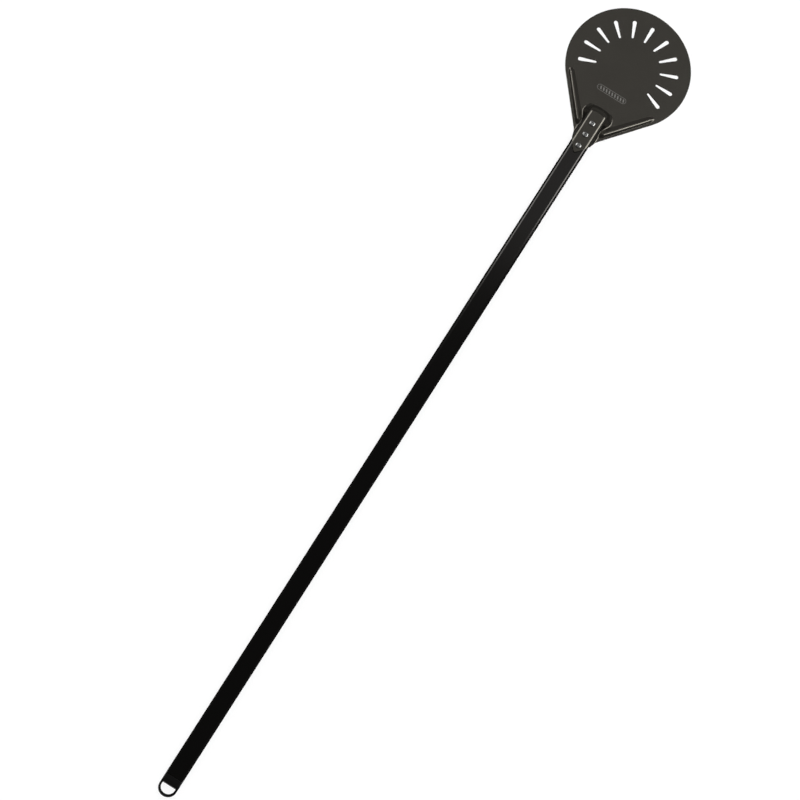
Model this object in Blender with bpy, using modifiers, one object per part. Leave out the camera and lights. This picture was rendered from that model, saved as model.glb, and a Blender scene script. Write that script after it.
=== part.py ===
"""Round turning peel for a pizza oven, built piece by piece in metres.

The peel lies on its underside on z = 0. The handle runs along Y with the round head at the +Y
end, and the origin is midway between the loop's end and the head's rim.

The pieces: one pressed blade, one handle tube that its channel sits over, three blind rivets of
two pieces each, and the end cap with the hanging loop.
"""
from math import asin, cos, pi, radians, sin, sqrt, tan

import bmesh
import bpy
from mathutils import Matrix, Vector

MM = 0.001

# ---- driving dimensions -------------------------------------------------------------------
OVERALL_LENGTH = 1524 * MM
HEAD_RADIUS = 101.6 * MM
SHEET = 1.5 * MM
FIT_GAP = 0.3 * MM

TUBE_WIDTH = 30 * MM
TUBE_HEIGHT = 15 * MM
TUBE_CORNER = 6 * MM
TUBE_WALL = 1.5 * MM

# Distances called "back" run from the head's centre towards the handle.
WING_ANGLE = radians(38.4)
WING_FILLET = 30 * MM
NECK_HALF_WIDTH = 17.3 * MM
WINGS_END_BACK = 155 * MM
TONGUE_TIP_BACK = 177 * MM
TONGUE_BULGE = 1.6 * MM

HOOD_FRONT_BACK = 82 * MM
HOOD_FRONT_ANGLE = radians(48)
HOOD_CORNER = 12 * MM
HOOD_LEAN = radians(52)
FLARE_START_BACK = 104 * MM
FLARE_END_BACK = 122 * MM
BEND_FOOT = 3 * MM
BEND_FRONT = 5 * MM

RIB_OUTER_BACK = 47 * MM
RIB_FULL_BACK = 92 * MM
RIB_INNER_BACK = 127 * MM
RIB_RISE = 2.6 * MM
RIB_FROM_EDGE = 8.5 * MM
RIB_INNER_FLANK = 5.2 * MM
RIB_OUTER_FLANK = 8 * MM

SLOT_COUNT = 11
SLOT_PITCH = radians(22.5)
SLOT_INNER_RADIUS = 51.5 * MM
SLOT_OUTER_RADIUS = 81.7 * MM
SLOT_INNER_WIDTH = 3.4 * MM
SLOT_OUTER_WIDTH = 6.3 * MM

RIVET_BACK = (120 * MM, 142 * MM, 164 * MM)
RIVET_FLANGE_RADIUS = 4.8 * MM
RIVET_FLANGE_HEIGHT = 1.6 * MM
RIVET_SHANK_RADIUS = 2.4 * MM
RIVET_BULB_RADIUS = 3.5 * MM
RIVET_BULB_LENGTH = 4.6 * MM
RIVET_BORE_RADIUS = 1.4 * MM
MANDREL_RADIUS = 1.1 * MM
MANDREL_HEAD_RADIUS = 2.2 * MM
MANDREL_HEAD_LENGTH = 2.4 * MM

TUBE_FRONT_BACK = 103 * MM
CAP_COLLAR = 12 * MM
CAP_PLUG_LENGTH = 32 * MM
LOOP_BAR = 3.6 * MM
LOOP_THICKNESS = 6 * MM
LOOP_HOLE_DEPTH = 15.5 * MM

# ---- places that follow from them ---------------------------------------------------------
HEAD_Y = OVERALL_LENGTH / 2 - HEAD_RADIUS
LOOP_END_Y = -OVERALL_LENGTH / 2
LOOP_RADIUS = TUBE_WIDTH / 2
HOLE_RADIUS = LOOP_RADIUS - LOOP_BAR
LOOP_CENTRE_Y = LOOP_END_Y + LOOP_RADIUS
HOLE_FLAT_Y = LOOP_CENTRE_Y - HOLE_RADIUS + LOOP_HOLE_DEPTH
TUBE_BACK_Y = HOLE_FLAT_Y + CAP_COLLAR + FIT_GAP
TUBE_FRONT_Y = HEAD_Y - TUBE_FRONT_BACK
CHANNEL_RISE = TUBE_HEIGHT + FIT_GAP
CHANNEL_TOP = CHANNEL_RISE + SHEET
BEND_TOP = TUBE_CORNER + FIT_GAP
PLATEAU_HALF = TUBE_WIDTH / 2 - TUBE_CORNER
MID_HEIGHT = TUBE_HEIGHT / 2

OVERSHOOT = 4 * MM

# ---- collections and materials ------------------------------------------------------------
for leftover in list(bpy.data.objects):
    bpy.data.objects.remove(leftover, do_unlink=True)

PARTS = bpy.data.collections.new("turning_peel")
CUTTERS = bpy.data.collections.new("cutters")
bpy.context.scene.collection.children.link(PARTS)
bpy.context.scene.collection.children.link(CUTTERS)


def finish_material(name, colour, metallic, roughness):
    """A plain material with its colour, metallic value and roughness."""
    material = bpy.data.materials.new(name)
    material.use_nodes = True
    shader = material.node_tree.nodes["Principled BSDF"]
    shader.inputs["Base Color"].default_value = (*colour, 1.0)
    shader.inputs["Metallic"].default_value = metallic
    shader.inputs["Roughness"].default_value = roughness
    return material


def add_object(name, mesh, collection, material=None, round_faces=True):
    """A mesh as a named object, smooth where its faces nearly agree if it is a round piece."""
    thing = bpy.data.objects.new(name, mesh)
    collection.objects.link(thing)
    if round_faces:
        mesh.shade_smooth()
        mesh.set_sharp_from_angle(angle=radians(35))
    if material:
        mesh.materials.append(material)
    if collection is CUTTERS:
        thing.hide_render = True
        thing.display_type = "WIRE"
    return thing


# ---- flat outlines ------------------------------------------------------------------------
def arc(centre, radius, start, end, steps):
    """Points along an arc in the plane, both ends included."""
    points = []
    for step in range(steps + 1):
        angle = start + (end - start) * step / steps
        points.append((centre[0] + radius * cos(angle), centre[1] + radius * sin(angle)))
    return points


def bulged(start, end, bulge, steps):
    """Points along a shallow arc that stands `bulge` to the left of the line from start to end."""
    chord = Vector(end) - Vector(start)
    side = Vector((-chord.y, chord.x)).normalized()
    points = []
    for step in range(steps + 1):
        share = step / steps
        points.append(tuple(Vector(start) + chord * share + side * bulge * 4 * share * (1 - share)))
    return points


def rounded_rectangle(width, height, radius, steps=6):
    """The outline of a rectangle with round corners, about its own centre."""
    reach_x = width / 2 - radius
    reach_y = height / 2 - radius
    points = []
    corners = ((reach_x, reach_y), (-reach_x, reach_y), (-reach_x, -reach_y), (reach_x, -reach_y))
    for quarter, corner in enumerate(corners):
        points += arc(corner, radius, quarter * pi / 2, (quarter + 1) * pi / 2, steps)
    return points


def prism(name, outlines, thickness, placement, collection, material=None):
    """A flat outline, with holes where there are more outlines, extruded along its own Z."""
    curve = bpy.data.curves.new(name + "_outline", "CURVE")
    curve.dimensions = "2D"
    curve.fill_mode = "BOTH"
    curve.extrude = thickness / 2
    for outline in outlines:
        spline = curve.splines.new("POLY")
        spline.points.add(len(outline) - 1)
        for point, place in zip(spline.points, outline):
            point.co = (place[0], place[1], 0.0, 1.0)
        spline.use_cyclic_u = True
    guide = bpy.data.objects.new(name + "_guide", curve)
    bpy.context.scene.collection.objects.link(guide)
    evaluated = guide.evaluated_get(bpy.context.evaluated_depsgraph_get())
    mesh = bpy.data.meshes.new_from_object(evaluated)
    bpy.data.objects.remove(guide, do_unlink=True)
    bpy.data.curves.remove(curve)
    tidy = bmesh.new()
    tidy.from_mesh(mesh)
    bmesh.ops.remove_doubles(tidy, verts=tidy.verts, dist=0.001 * MM)
    bmesh.ops.recalc_face_normals(tidy, faces=tidy.faces)
    tidy.transform(placement)
    tidy.to_mesh(mesh)
    tidy.free()
    mesh.materials.clear()
    return add_object(name, mesh, collection, material)


def lying_flat(z):
    """Places an outline drawn in x and y at a height."""
    return Matrix.Translation((0.0, 0.0, z))


def across_handle(y, z=MID_HEIGHT):
    """Places an outline drawn as width and height so that it is extruded along the handle."""
    return Matrix.Translation((0.0, y, z)) @ Matrix.Rotation(pi / 2, 4, "X")


def combine(piece, other, operation):
    """Adds an exact Boolean of the piece with another object."""
    modifier = piece.modifiers.new(operation.lower() + "_" + other.name, "BOOLEAN")
    modifier.operation = operation
    modifier.solver = "EXACT"
    modifier.object = other


def turned(name, profile, centre, collection, material=None, closed=False, segments=32):
    """A profile of (radius, height) points turned about a vertical axis through `centre`."""
    mesh = bpy.data.meshes.new(name)
    edges = [(index, index + 1) for index in range(len(profile) - 1)]
    if closed:
        edges.append((len(profile) - 1, 0))
    mesh.from_pydata([(radius, 0.0, height) for radius, height in profile], edges, [])
    thing = bpy.data.objects.new(name, mesh)
    thing.location = centre
    collection.objects.link(thing)
    screw = thing.modifiers.new("turn", "SCREW")
    screw.steps = segments
    screw.render_steps = segments
    screw.use_merge_vertices = True
    screw.merge_threshold = 0.001 * MM
    screw.use_smooth_shade = True
    if material:
        mesh.materials.append(material)
    if collection is CUTTERS:
        thing.hide_render = True
        thing.display_type = "WIRE"
    return thing


# ---- the pressed blade --------------------------------------------------------------------
def smooth(value, low, high):
    """0 below low, 1 above high, and an even S between."""
    share = min(max((value - low) / (high - low), 0.0), 1.0)
    return share * share * (3 - 2 * share)


def ramp_run(rise, lean, top_bend, foot_bend):
    """The length of a bent slope seen from above, and of its straight part."""
    straight = (rise - (top_bend + foot_bend) * (1 - cos(lean))) / sin(lean)
    return (top_bend + foot_bend) * sin(lean) + straight * cos(lean), straight


def hood_rise(back):
    """Height of the hood's ridge over the floor, under the sheet, up its front slope."""
    run, _ = ramp_run(CHANNEL_RISE, HOOD_FRONT_ANGLE, BEND_FRONT, BEND_FRONT)
    inward = min(max(back - HOOD_FRONT_BACK, 0.0), run)
    bend_run = BEND_FRONT * sin(HOOD_FRONT_ANGLE)
    if inward < bend_run:
        return BEND_FRONT - sqrt(BEND_FRONT ** 2 - inward ** 2)
    if inward > run - bend_run:
        return CHANNEL_RISE - BEND_FRONT + sqrt(BEND_FRONT ** 2 - (run - inward) ** 2)
    bend_rise = BEND_FRONT * (1 - cos(HOOD_FRONT_ANGLE))
    return bend_rise + (inward - bend_run) * tan(HOOD_FRONT_ANGLE)


def hood_lean(back):
    """How steep the channel's walls are: upright along the tube, leaning at the hood."""
    return HOOD_LEAN + (pi / 2 - HOOD_LEAN) * smooth(back, FLARE_START_BACK, FLARE_END_BACK)


def foot_half_width(back):
    """Half the width between the feet of the channel's walls, rounded in plan at the front."""
    run, _ = ramp_run(CHANNEL_RISE, hood_lean(back), BEND_TOP, BEND_FOOT)
    inward = min(max(back - HOOD_FRONT_BACK, 0.0), HOOD_CORNER)
    return PLATEAU_HALF + run - HOOD_CORNER + sqrt(HOOD_CORNER ** 2 - (HOOD_CORNER - inward) ** 2)


def channel_section(back, top_steps, foot_steps):
    """The underside of half the channel at one station, from its ridge out to its foot."""
    rise = hood_rise(back)
    shape = max(rise, 0.2 * MM)
    lean = hood_lean(back)
    turn = 1 - cos(lean)
    top_bend = min(BEND_TOP, 0.45 * shape / turn)
    foot_bend = min(BEND_FOOT, 0.45 * shape / turn)
    foot = foot_half_width(back)
    run, _ = ramp_run(shape, lean, top_bend, foot_bend)
    ridge = foot - run
    points = [(0.0, shape)]
    for step in range(top_steps + 1):
        angle = lean * step / top_steps
        points.append((ridge + top_bend * sin(angle), shape - top_bend * (1 - cos(angle))))
    for step in range(foot_steps + 1):
        angle = lean * (1 - step / foot_steps)
        points.append((foot - foot_bend * sin(angle), foot_bend * (1 - cos(angle))))
    return [(x, z * rise / shape) for x, z in points]


def wing_edge(back):
    """Half the width of the blade along its straight wing edge."""
    return HEAD_RADIUS / cos(WING_ANGLE) - back * tan(WING_ANGLE)


def rib_height(x, back):
    """Height that the stiffening rib of a wing adds: pointed outwards, wide at the neck."""
    from_edge = (wing_edge(back) - abs(x)) * cos(WING_ANGLE)
    grown = smooth(back, RIB_OUTER_BACK, RIB_FULL_BACK)
    closing = 1 - smooth(back, RIB_INNER_BACK - 8 * MM, RIB_INNER_BACK)
    flank = RIB_INNER_FLANK if from_edge > RIB_FROM_EDGE else RIB_OUTER_FLANK
    width = flank * (0.35 + 0.65 * grown)
    share = (from_edge - RIB_FROM_EDGE) / width
    if abs(share) >= 1:
        return 0.0
    return RIB_RISE * sqrt(grown) * closing * cos(share * pi / 2) ** 2


def blade_columns(back, top_steps, foot_steps, rib_offsets):
    """(x, z) of the blade's underside at one station, from the middle out past the edge."""
    points = channel_section(back, top_steps, foot_steps)
    foot = points[-1][0]
    edge = max(wing_edge(max(back, RIB_OUTER_BACK)), foot + 3 * MM)
    inner = max(edge - rib_offsets[0] / cos(WING_ANGLE), foot + 0.8 * MM)
    points.append(((foot + inner) / 2, 0.0))
    for offset in rib_offsets:
        x = inner + (edge - inner) * (1 - offset / rib_offsets[0])
        points.append((x, rib_height(x, back)))
    points.append((max(edge, HEAD_RADIUS if back < RIB_OUTER_BACK else 0.0) + OVERSHOOT, 0.0))
    return points


def blade_stations():
    """Where the blade's cross-sections stand, as distances back from the head's centre."""
    run, _ = ramp_run(CHANNEL_RISE, HOOD_FRONT_ANGLE, BEND_FRONT, BEND_FRONT)
    bend_run = BEND_FRONT * sin(HOOD_FRONT_ANGLE)
    stations = [-HEAD_RADIUS - OVERSHOOT, 0.0, RIB_OUTER_BACK - 2 * MM]
    stations += [RIB_OUTER_BACK + step * 5 * MM for step in range(7)]
    stations += [HOOD_FRONT_BACK + bend_run * step / 3 for step in range(4)]
    stations += [HOOD_FRONT_BACK + bend_run + (run - 2 * bend_run) * step / 4 for step in range(1, 4)]
    stations += [HOOD_FRONT_BACK + run - bend_run * (3 - step) / 3 for step in range(4)]
    stations += [FLARE_START_BACK + (FLARE_END_BACK - FLARE_START_BACK) * step / 5 for step in range(6)]
    stations += [RIB_INNER_BACK - 3 * MM, RIB_INNER_BACK, RIB_INNER_BACK + 6 * MM]
    stations += [WINGS_END_BACK, TONGUE_TIP_BACK + OVERSHOOT]
    return stations


def blade_outline():
    """The blade seen from above: round head, straight wings, neck and pointed tongue."""
    tangent = pi + WING_ANGLE
    rim = arc((0.0, HEAD_Y), HEAD_RADIUS, -WING_ANGLE, tangent, 120)
    wing_meets_neck = (HEAD_RADIUS / cos(WING_ANGLE) - NECK_HALF_WIDTH) / tan(WING_ANGLE)
    fillet_back = wing_meets_neck + WING_FILLET * tan(WING_ANGLE / 2)
    centre = (-NECK_HALF_WIDTH - WING_FILLET, HEAD_Y - fillet_back)
    left = arc(centre, WING_FILLET, WING_ANGLE, 0.0, 8)
    shoulder = (-NECK_HALF_WIDTH, HEAD_Y - WINGS_END_BACK)
    tip = (0.0, HEAD_Y - TONGUE_TIP_BACK)
    left += bulged(shoulder, tip, -TONGUE_BULGE, 6)
    right = [(-x, y) for x, y in reversed(left[:-1])]
    return rim + left + right


def slot_outline(angle):
    """One tapered slot with round ends, `angle` round from the head's far side."""
    inner_end = SLOT_INNER_WIDTH / 2
    outer_end = SLOT_OUTER_WIDTH / 2
    inner = SLOT_INNER_RADIUS + inner_end
    outer = SLOT_OUTER_RADIUS - outer_end
    flare = asin((outer_end - inner_end) / (outer - inner))
    points = arc((outer, 0.0), outer_end, -pi / 2 - flare, pi / 2 + flare, 8)
    points += arc((inner, 0.0), inner_end, pi / 2 + flare, 3 * pi / 2 - flare, 8)
    turn = Matrix.Rotation(pi / 2 - angle, 2)
    return [tuple(turn @ Vector(point) + Vector((0.0, HEAD_Y))) for point in points]


def build_blade(material):
    """The sheet: a grid pressed to shape, thickened, cut to its outline and slotted."""
    rib_offsets = [14 * MM * (1 - step / 8) for step in range(9)]
    stations = blade_stations()
    rows = [blade_columns(back, 5, 3, rib_offsets) for back in stations]
    half = len(rows[0]) - 1
    sheet = bmesh.new()
    bmesh.ops.create_grid(sheet, x_segments=2 * half, y_segments=len(rows) - 1, size=1.0)
    for vert in sheet.verts:
        column = round(vert.co.x * half)
        row = round((1 - vert.co.y) / 2 * (len(rows) - 1))
        x, z = rows[row][abs(column)]
        vert.co = (x if column > 0 else -x, HEAD_Y - stations[row], z)
    mesh = bpy.data.meshes.new("blade")
    sheet.to_mesh(mesh)
    sheet.free()
    blade = add_object("blade", mesh, PARTS, material, round_faces=False)
    thicken = blade.modifiers.new("sheet", "SOLIDIFY")
    thicken.thickness = SHEET
    thicken.offset = 1.0
    thicken.use_even_offset = True
    trim = prism("blade_trim", [blade_outline()], 80 * MM, lying_flat(0.0), CUTTERS)
    combine(blade, trim, "INTERSECT")
    for index in range(SLOT_COUNT):
        angle = (index - (SLOT_COUNT - 1) / 2) * SLOT_PITCH
        name = f"slot_{index + 1}"
        combine(blade, prism(name, [slot_outline(angle)], 20 * MM, lying_flat(0.0), CUTTERS), "DIFFERENCE")
    return blade


# ---- the handle tube ----------------------------------------------------------------------
def build_tube(material):
    """A flattened oval tube, open at both ends."""
    outer = rounded_rectangle(TUBE_WIDTH, TUBE_HEIGHT, TUBE_CORNER)
    inner = rounded_rectangle(
        TUBE_WIDTH - 2 * TUBE_WALL, TUBE_HEIGHT - 2 * TUBE_WALL, TUBE_CORNER - TUBE_WALL)
    length = TUBE_FRONT_Y - TUBE_BACK_Y
    middle = across_handle((TUBE_FRONT_Y + TUBE_BACK_Y) / 2)
    return prism("handle_tube", [outer, inner], length, middle, PARTS, material)


# ---- the blind rivets ---------------------------------------------------------------------
def build_rivet(number, back, body_material, mandrel_material):
    """One blind rivet: a hollow flanged body set from above, and the broken mandrel in it."""
    y = HEAD_Y - back
    seat = CHANNEL_TOP + FIT_GAP
    inside = TUBE_HEIGHT - TUBE_WALL - FIT_GAP
    bulb_end = inside - RIVET_BULB_LENGTH
    crown = RIVET_FLANGE_RADIUS - RIVET_BORE_RADIUS
    profile = []
    for step in range(7):
        angle = pi / 2 * step / 6
        profile.append((RIVET_BORE_RADIUS + crown * sin(angle),
                        seat + 0.4 * MM + (RIVET_FLANGE_HEIGHT - 0.4 * MM) * cos(angle)))
    profile += [(RIVET_FLANGE_RADIUS, seat), (RIVET_SHANK_RADIUS, seat), (RIVET_SHANK_RADIUS, inside)]
    for step in range(1, 7):
        angle = pi * step / 6
        swell = (RIVET_BULB_RADIUS - RIVET_SHANK_RADIUS) * sin(angle)
        profile.append((RIVET_SHANK_RADIUS + swell, inside - RIVET_BULB_LENGTH * step / 6))
    profile.append((RIVET_BORE_RADIUS, bulb_end))
    body = turned(f"rivet_body_{number}", profile, (0.0, y, 0.0), PARTS, body_material, closed=True)

    head_top = bulb_end - FIT_GAP
    stem_top = seat + RIVET_FLANGE_HEIGHT - 0.7 * MM
    profile = [(0.0, stem_top), (MANDREL_RADIUS, stem_top - 0.2 * MM), (MANDREL_RADIUS, head_top)]
    for step in range(6):
        angle = pi / 2 * step / 5
        drop = 0.6 * MM + (MANDREL_HEAD_LENGTH - 0.6 * MM) * sin(angle)
        profile.append((MANDREL_HEAD_RADIUS * cos(angle) if step < 5 else 0.0, head_top - drop))
    profile.insert(3, (MANDREL_HEAD_RADIUS, head_top))
    mandrel = turned(f"rivet_mandrel_{number}", profile, (0.0, y, 0.0), PARTS, mandrel_material)
    return body, mandrel


def drill_rivet_holes(blade, tube):
    """Clearance holes through the channel's top and the tube's upper wall."""
    radius = RIVET_SHANK_RADIUS + FIT_GAP
    for number, back in enumerate(RIVET_BACK, start=1):
        top = CHANNEL_TOP + 3 * MM
        profile = [(0.0, top), (radius, top), (radius, MID_HEIGHT), (0.0, MID_HEIGHT)]
        drill = turned(f"drill_{number}", profile, (0.0, HEAD_Y - back, 0.0), CUTTERS)
        combine(blade, drill, "DIFFERENCE")
        combine(tube, drill, "DIFFERENCE")


# ---- the end cap --------------------------------------------------------------------------
def loop_outline(radius, flat_y, steps, widening=0.0):
    """A half round end about the loop's centre, closed by a straight side at flat_y."""
    points = arc((0.0, LOOP_CENTRE_Y), radius, -pi, 0.0, steps)
    return points + [(radius + widening, flat_y), (-radius - widening, flat_y)]


def cap_side_profile():
    """(y, z) around the cap seen from the side: full height at the tube, thin at the loop."""
    shoulder = HOLE_FLAT_Y + 8 * MM
    thin = HOLE_FLAT_Y - 1 * MM
    steps = 8
    upper = []
    for step in range(steps + 1):
        share = step / steps
        eased = share * share * (3 - 2 * share)
        half = TUBE_HEIGHT + OVERSHOOT + (LOOP_THICKNESS - TUBE_HEIGHT - OVERSHOOT) * eased
        upper.append((shoulder + (thin - shoulder) * share, half / 2))
    far = LOOP_END_Y - OVERSHOOT
    start = TUBE_BACK_Y + OVERSHOOT
    upper = [(start, upper[0][1])] + upper + [(far, LOOP_THICKNESS / 2)]
    lower = [(y, -z) for y, z in reversed(upper)]
    return [(y, z + MID_HEIGHT) for y, z in upper + lower]


def build_cap(material):
    """The moulded cap: a plug for the tube, a collar that carries on its outline, and a D loop."""
    section = rounded_rectangle(TUBE_WIDTH, TUBE_HEIGHT, TUBE_CORNER)
    collar_y = TUBE_BACK_Y - FIT_GAP
    length = collar_y - LOOP_END_Y + OVERSHOOT
    cap = prism("end_cap", [section], length, across_handle(collar_y - length / 2), PARTS, material)
    plan = prism("cap_plan", [loop_outline(LOOP_RADIUS, collar_y + OVERSHOOT, 24, OVERSHOOT)],
                 60 * MM, lying_flat(MID_HEIGHT), CUTTERS)
    combine(cap, plan, "INTERSECT")
    sideways = Matrix.Rotation(pi / 2, 4, "Y") @ Matrix.Rotation(pi / 2, 4, "Z")
    side = prism("cap_side", [cap_side_profile()], 60 * MM, sideways, CUTTERS)
    combine(cap, side, "INTERSECT")
    hole = prism("cap_hole", [loop_outline(HOLE_RADIUS, HOLE_FLAT_Y, 20)], 60 * MM,
                 lying_flat(MID_HEIGHT), CUTTERS)
    combine(cap, hole, "DIFFERENCE")
    shrink = 2 * (TUBE_WALL + FIT_GAP)
    plug_section = rounded_rectangle(
        TUBE_WIDTH - shrink, TUBE_HEIGHT - shrink, TUBE_CORNER - shrink / 2)
    overlap = 2 * MM
    plug = prism("cap_plug", [plug_section], CAP_PLUG_LENGTH + overlap,
                 across_handle(collar_y + (CAP_PLUG_LENGTH - overlap) / 2), CUTTERS)
    combine(cap, plug, "UNION")
    return cap


# ---- assembly -----------------------------------------------------------------------------
blade_finish = finish_material("anodised_blade", (0.045, 0.042, 0.036), 0.9, 0.42)
tube_finish = finish_material("anodised_tube", (0.024, 0.023, 0.022), 0.85, 0.4)
rivet_finish = finish_material("bare_aluminium", (0.80, 0.80, 0.79), 1.0, 0.3)
mandrel_finish = finish_material("mandrel_steel", (0.35, 0.35, 0.35), 1.0, 0.45)
cap_finish = finish_material("black_plastic", (0.008, 0.007, 0.007), 0.0, 0.5)

blade_piece = build_blade(blade_finish)
tube_piece = build_tube(tube_finish)
drill_rivet_holes(blade_piece, tube_piece)
for rivet_number, rivet_back in enumerate(RIVET_BACK, start=1):
    build_rivet(rivet_number, rivet_back, rivet_finish, mandrel_finish)
build_cap(cap_finish)
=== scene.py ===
"""Looks of a round turning peel: pressed blade, flat-oval handle, blind rivets and hanging loop."""
from math import asin, ceil, cos, pi, radians, sin, sqrt, tan

import bmesh
import bpy
import numpy
from bpy.props import FloatProperty, FloatVectorProperty, IntProperty, PointerProperty
from mathutils import Matrix, Vector, geometry, kdtree


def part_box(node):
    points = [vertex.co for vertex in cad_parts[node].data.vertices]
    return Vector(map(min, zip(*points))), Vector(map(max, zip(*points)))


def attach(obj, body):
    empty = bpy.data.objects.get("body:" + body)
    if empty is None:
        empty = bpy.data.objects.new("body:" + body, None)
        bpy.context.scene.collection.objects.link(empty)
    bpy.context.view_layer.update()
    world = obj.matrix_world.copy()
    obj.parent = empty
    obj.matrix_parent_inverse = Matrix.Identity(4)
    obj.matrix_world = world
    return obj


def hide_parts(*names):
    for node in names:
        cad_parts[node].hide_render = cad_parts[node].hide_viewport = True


bl_info = {
    "name": "Turning Peel Looks",
    "version": (1, 0, 0),
    "blender": (4, 5, 0),
    "location": "View3D > Sidebar > Peel",
    "description": "Builds the finished surfaces of a round perforated turning peel",
    "category": "Object",
}

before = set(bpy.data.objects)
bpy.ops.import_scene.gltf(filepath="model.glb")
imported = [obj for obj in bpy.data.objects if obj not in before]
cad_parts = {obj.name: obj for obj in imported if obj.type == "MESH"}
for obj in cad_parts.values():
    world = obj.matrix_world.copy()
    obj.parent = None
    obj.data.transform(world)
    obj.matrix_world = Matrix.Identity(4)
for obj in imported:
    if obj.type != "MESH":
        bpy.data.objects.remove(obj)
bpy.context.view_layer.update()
BLADE_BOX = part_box("blade")
TUBE_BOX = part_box("handle_tube")
CAP_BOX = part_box("end_cap")
MM = 0.001
ROOT = "root"


def length(name, default, description):
    """A size in metres that a user can change."""
    return FloatProperty(name=name, description=description, default=default, precision=5,
                         subtype="DISTANCE", unit="LENGTH")


def angle(name, default, description):
    """An angle, given here in degrees, that a user can change."""
    return FloatProperty(name=name, description=description, default=radians(default),
                         subtype="ANGLE", unit="ROTATION")


def colour(name, default, description):
    """A linear colour that a user can change."""
    return FloatVectorProperty(name=name, description=description, default=default, size=3,
                               min=0.0, max=1.0, subtype="COLOR")


def share(name, default, description):
    """A plain factor from 0 to 1."""
    return FloatProperty(name=name, description=description, default=default, min=0.0, max=1.0,
                         subtype="FACTOR")


# ---- settings that a user can change --------------------------------------------------------
class PEEL_PG_blade(bpy.types.PropertyGroup):
    """Sizes of the pressed blade. Distances called "back" run from the head's centre to the handle."""

    head_radius: length("Head radius", (BLADE_BOX[1].x - BLADE_BOX[0].x) / 2, "Round head's radius")
    sheet: length("Sheet", 1.5 * MM, "Thickness of the sheet")
    edge_round: length("Edge round", 0.35 * MM, "Rounding of the sheet's cut edges")
    wing_angle: angle("Wing angle", 38.4, "Angle between a wing's straight edge and the handle")
    wing_fillet: length("Wing fillet", 40 * MM, "Radius where a wing's edge runs into the neck")
    wing_end: angle("Wing end", 10.0, "Angle at which a wing's edge meets the handle")
    neck_half: length("Neck half width", 15.5 * MM, "Half the blade's width where the wings end")
    shoulder: length("Shoulder", 153.3 * MM, "Where the walls end and the tongue starts, back")
    tongue_tip: length("Tongue tip", 177 * MM, "Where the tongue over the handle ends, back")
    hood_front: length("Hood front", 82 * MM, "Foot of the hood's front slope, back")
    hood_angle: angle("Hood angle", 60.0, "Steepness of the hood's front slope")
    hood_corner: length("Hood corner", 15 * MM, "Radius of the hood's front corners seen from above")
    hood_bow: length("Hood bow", 1.4 * MM, "How far the hood's front bows outwards")
    hood_lean: angle("Hood lean", 50.0, "Steepness of the hood's sides")
    flare_start: length("Flare start", 99 * MM, "Where the hood starts to narrow, back")
    flare_end: length("Flare end", 121 * MM, "Where the channel's walls stand upright, back")
    rib_start: length("Rib start", -10 * MM, "Outer end of a rib, along the wing's straight edge")
    rib_finish: length("Rib finish", 91 * MM, "Inner end of a rib, along the wing's straight edge")
    rib_crest: length("Rib crest", 9.0 * MM, "A rib's crest from the wing's edge")
    rib_rise: length("Rib rise", 3.8 * MM, "Height of a rib at its inner end")
    rib_taper: share("Rib taper", 0.7, "A rib's size at its outer end against its inner end")
    rib_outer_lean: angle("Rib outer lean", 43.0, "Steepness of a rib's outer flank")
    rib_inner_lean: angle("Rib inner lean", 31.0, "Steepness of a rib's inner flank")
    rib_point: length("Rib point", 12 * MM, "How long a rib's rounded ends are")
    slot_count: IntProperty(name="Slots", description="Number of slots", default=11, min=1)
    slot_pitch: angle("Slot pitch", 22.5, "Angle from slot to slot")
    slot_inner: length("Slot inner end", 51.5 * MM, "Inner end of a slot from the head's centre")
    slot_outer: length("Slot outer end", 81.7 * MM, "Outer end of a slot from the head's centre")
    slot_inner_width: length("Slot inner width", 3.4 * MM, "Width of a slot at its inner end")
    slot_outer_width: length("Slot outer width", 6.3 * MM, "Width of a slot at its outer end")


class PEEL_PG_handle(bpy.types.PropertyGroup):
    """Sizes of the handle tube and its end cap."""

    width: length("Width", TUBE_BOX[1].x - TUBE_BOX[0].x, "Width of the tube")
    height: length("Height", TUBE_BOX[1].z - TUBE_BOX[0].z, "Height of the tube")
    corner: length("Corner", 6 * MM, "Corner radius of the tube's section")
    wall: length("Wall", 1.5 * MM, "Wall of the tube")
    gap: length("Gap", 0.3 * MM, "Clearance between touching pieces")
    deburr: length("Deburr", 0.3 * MM, "Rounding of the tube's cut ends")
    loop_bar: length("Loop bar", 3.6 * MM, "Width of the hanging loop's bar")
    loop_thickness: length("Loop thickness", 6 * MM, "Height of the hanging loop's bar")
    hole_depth: length("Hole depth", 15.5 * MM, "Hanging hole's length along the handle")
    collar: length("Collar", 12 * MM, "Solid part of the cap between the hole and the tube")
    plug: length("Plug", 32 * MM, "Part of the cap inside the tube")


class PEEL_PG_rivet(bpy.types.PropertyGroup):
    """Sizes of the blind rivets."""

    flange_radius: length("Flange radius", 4.8 * MM, "Radius of a rivet's head")
    flange_height: length("Flange height", 1.6 * MM, "Height of a rivet's head")
    shank_radius: length("Shank radius", 2.4 * MM, "Radius of a rivet's shank")
    bulb_radius: length("Bulb radius", 3.5 * MM, "Radius of the upset end inside the tube")
    bulb_length: length("Bulb length", 4.6 * MM, "Length of the upset end")
    bore_radius: length("Bore radius", 1.4 * MM, "Radius of the hole that the mandrel fills")


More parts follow.
